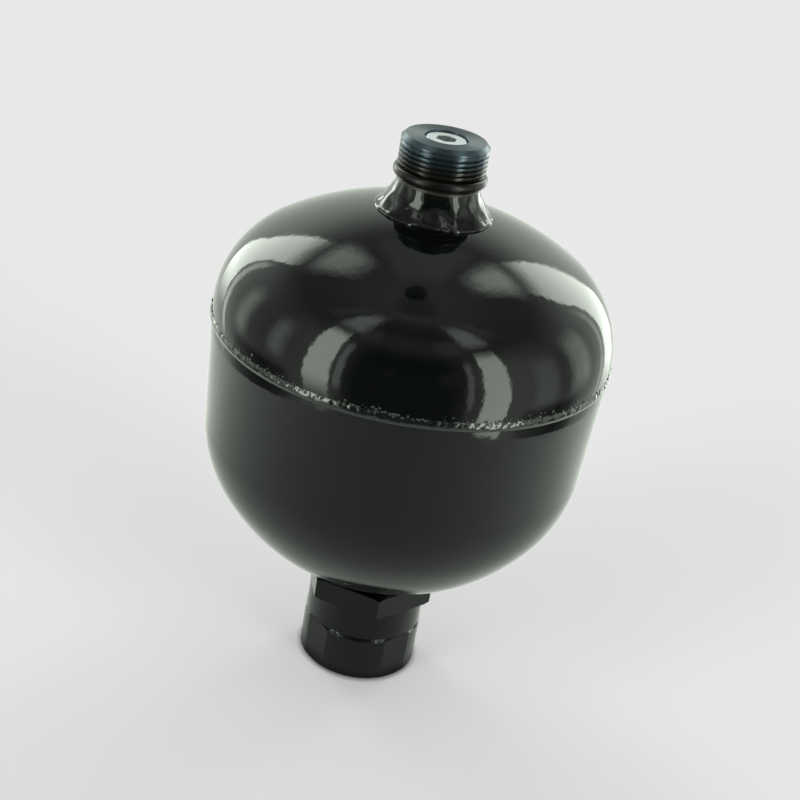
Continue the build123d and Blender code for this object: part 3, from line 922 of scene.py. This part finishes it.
# what is added: low azimuth, high azimuth and their softness, low elevation and its softness,
# high elevation and its softness, and the level
PATCHES = [
    # tall soft boxes in front, with the glow on the ceiling above each
    (-55.2, -39.8, 0.9, -20, 15, 42, 6, 4.05), (44.1, 59.5, 0.9, -34, 14, 41, 6, 3.75),
    (-55, -36, 5, 49, 5, 70, 7, 1.30), (41, 61, 5, 51, 5, 70, 7, 1.30),
    (-37, -33, 0.9, -14, 6, 34, 6, 1.0), (35.0, 38.5, 0.9, -14, 6, 34, 6, 0.80),
    # panels at the sides
    (-110, -101, 5, -12, 6, 20, 8, 1.15), (-80, -71, 5, -8, 6, 22, 8, 0.9),
    (76, 91, 4, -16, 8, 22, 8, 0.42), (103, 118, 4, -12, 8, 24, 8, 1.05),
    # tall soft boxes behind
    (-147.5, -131, 0.9, -9, 9, 39.5, 6, 3.95), (137.8, 154, 0.9, -18, 9, 40.5, 6, 3.45),
    (-149, -130, 6, 47, 4, 61, 6, 1.70), (137, 153, 6, 47, 4, 62, 6, 2.15),
    (-129, -125, 1.0, -22, 6, 28, 6, 1.7), (131.5, 135, 1.0, -22, 6, 24, 6, 0.7),
    # faint marks on the dark wall in front
    (20, 30, 3, 11, 4, 24, 4, 0.07), (-11, -6, 2, 13, 2, 19, 2, 0.07),
    # dimmer light on the ceiling, beside the soft boxes and behind
    (-36, -22, 5, 44, 4, 57, 5, 0.13), (20, 38, 6, 43, 4, 57, 5, 0.17),
    (-74, -62, 5, 52, 5, 73, 5, 0.14), (62, 80, 6, 55, 5, 73, 5, 0.17),
    (-190, -159, 6, 50, 5, 71, 5, 0.16), (160, 190, 6, 50, 5, 71, 5, 0.18),
    # darker low walls, and the darker ceiling above the camera
    (-112, -66, 6, -40, 4, -17, 4, -0.31), (70, 110, 6, -40, 4, -18, 4, -0.31),
    (-33, 33, 8, 59, 5, 76, 4, -0.13), (-24, 24, 6, 28, 8, 42, 6, -0.07),
]
# darker spots on the ceiling: direction, inner and outer angle, and how much darker
CEILING_HOLES = [((-175, 79.5), 2.7, 4.4, 0.26), ((180, 87.5), 2.0, 9.0, 0.14)]


def wall_light(n, azimuth):
    ramp = n.add("ShaderNodeValToRGB", {"Fac": n.math("MULTIPLY_ADD", azimuth, 1 / 360, 0.5)})
    ramp.color_ramp.interpolation = "LINEAR"
    while len(ramp.color_ramp.elements) < len(WALLS):
        ramp.color_ramp.elements.new(0.5)
    for stop, (angle, level) in zip(ramp.color_ramp.elements, WALLS):
        stop.position = angle / 360 + 0.5
        stop.color = (level, level, level, 1)
    return n.split(ramp.outputs["Color"])[0]


def studio_light():
    world = bpy.data.worlds.new("studio light")
    scene.world = world
    world.use_nodes = True
    world.node_tree.nodes.clear()
    n = Nodes(world.node_tree)
    ray = n.add("ShaderNodeTexCoord").outputs["Generated"]
    x, y, z = n.split(ray)
    azimuth = n.product(n.turn(x, y), DEGREES)
    elevation = n.product(n.math("ARCSINE", z), DEGREES)

    def blend(one, other, share):
        kept = n.product(one, n.math("SUBTRACT", 1.0, share))
        return n.math("MULTIPLY_ADD", other, share, kept)

    def between(value, low, low_soft, high, high_soft):
        rise = n.step(value, low - low_soft, low + low_soft)
        return n.product(rise, n.step(value, high + high_soft, high - high_soft))

    ceiling = n.step(elevation, CEILING_LOW, CEILING_HIGH, CEILING_LOW_LEVEL, CEILING_HIGH_LEVEL)
    light = wall_light(n, azimuth)
    light = blend(light, ceiling, n.step(elevation, WALL_TOP, CEILING_FROM))
    light = blend(light, BELOW_LEVEL, n.step(elevation, WALL_FOOT, BELOW_FROM))
    for a0, a1, a_soft, e0, e0_soft, e1, e1_soft, level in PATCHES:
        patch = n.product(between(azimuth, a0, a_soft, a1, a_soft),
                          between(elevation, e0, e0_soft, e1, e1_soft))
        light = n.math("MULTIPLY_ADD", patch, level, light)
    for place, inner, outer, darker in CEILING_HOLES:
        apart = n.add("ShaderNodeVectorMath", {0: ray, 1: towards(*place)},
                      operation="DOT_PRODUCT").outputs["Value"]
        hole = n.step(apart, math.cos(math.radians(outer)), math.cos(math.radians(inner)))
        light = n.math("MULTIPLY_ADD", hole, -darker, light)
    light = n.math("MAXIMUM", light, DARKEST)

    seen = n.add("ShaderNodeLightPath").outputs["Is Camera Ray"]
    colour = n.add("ShaderNodeMix", {0: seen, 4: n.scaled(LIGHT_TINT, light), 5: BACKGROUND},
                   data_type="VECTOR").outputs[1]
    background = n.add("ShaderNodeBackground", {"Color": colour, "Strength": 1.0})
    n.feed(n.add("ShaderNodeOutputWorld").inputs["Surface"], background.outputs[0])
    world.cycles.sampling_method = "MANUAL"
    world.cycles.sample_map_resolution = 1024


# ---------------------------------------------------------------- camera

CAMERA_DISTANCE = 0.49676
CAMERA_ELEVATION = 26.48
CAMERA_AIM_Z = 0.1016
CAMERA_LEAN = 10.1
CAMERA_LENS = 66.48


def studio_camera():
    data = bpy.data.cameras.new("camera")
    data.lens = CAMERA_LENS
    data.sensor_width = 36.0
    data.clip_start = 0.01
    data.clip_end = 50.0
    camera = bpy.data.objects.new("camera", data)
    scene.collection.objects.link(camera)
    back = towards(0, CAMERA_ELEVATION)
    camera.location = Vector((0, 0, CAMERA_AIM_Z)) + back * CAMERA_DISTANCE
    upright = back.to_track_quat("Z", "Y").to_matrix()
    lean = Matrix.Rotation(math.radians(CAMERA_LEAN), 3, "Z")
    camera.rotation_euler = (upright @ lean).to_euler()
    scene.camera = camera


studio_floor()
studio_light()
studio_camera()
scene.view_settings.view_transform = "Standard"
scene.view_settings.look = "None"
